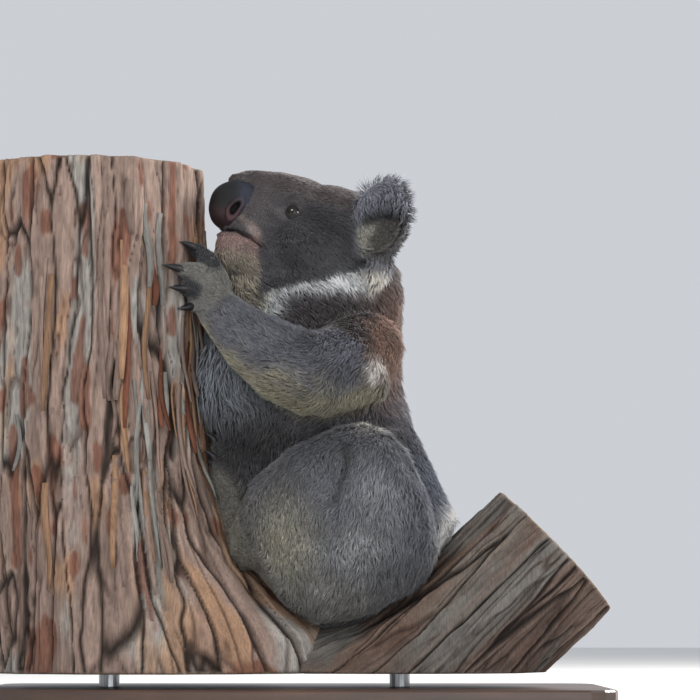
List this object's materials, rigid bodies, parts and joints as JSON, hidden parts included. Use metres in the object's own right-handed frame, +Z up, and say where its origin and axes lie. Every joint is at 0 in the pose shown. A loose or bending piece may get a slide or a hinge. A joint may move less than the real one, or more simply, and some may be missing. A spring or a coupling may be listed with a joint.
{
  "type": "koala on a tree fork",
  "caption": "Life-size koala sitting in the fork of a gum tree with its arms round the trunk, on a flat display stand.",
  "frame": {"origin": "middle of the underside of the stand's base", "axes": "+Z up; the koala faces -X, with the tree trunk in front of it, and its left side faces -Y"},
  "size_m": [0.6896, 0.34, 0.566],
  "materials": {
    "coat": "dense grey-brown fur",
    "nose_pad": "bare pebbled skin, slightly moist",
    "eye": "wet, polished",
    "claw": "dark horn, satin",
    "bark": "stringy ridged bark, sawn ends",
    "stand_wood": "dark stained, satin lacquer",
    "stand_steel": "brushed"
  },
  "bodies": {
    "root": {"head": "coat", "neck": "coat", "chest": "coat", "belly": "coat", "rump": "coat", "ear_left": "coat", "ear_right": "coat", "upper_arm_left": "coat", "upper_arm_right": "coat", "forearm_left": "coat", "forearm_right": "coat", "hand_left": "coat", "hand_right": "coat", "thigh_left": "coat", "thigh_right": "coat", "shin_left": "coat", "shin_right": "coat", "foot_left": "coat", "foot_right": "coat", "nose": "nose_pad", "eye_left": "eye", "eye_right": "eye", "claw_finger_1_left": "claw", "claw_finger_1_right": "claw", "claw_finger_2_left": "claw", "claw_finger_2_right": "claw", "claw_finger_3_left": "claw", "claw_finger_3_right": "claw", "claw_finger_4_left": "claw", "claw_finger_4_right": "claw", "claw_finger_5_left": "claw", "claw_finger_5_right": "claw", "claw_toe_2_left": "claw", "claw_toe_2_right": "claw", "claw_toe_3_left": "claw", "claw_toe_3_right": "claw", "claw_toe_4_left": "claw", "claw_toe_4_right": "claw", "claw_toe_5_left": "claw", "claw_toe_5_right": "claw", "perch_trunk": "bark", "perch_limb": "bark", "stand_base": "stand_wood", "stand_rod_trunk": "stand_steel", "stand_rod_limb": "stand_steel"}
  },
  "joints": []
}
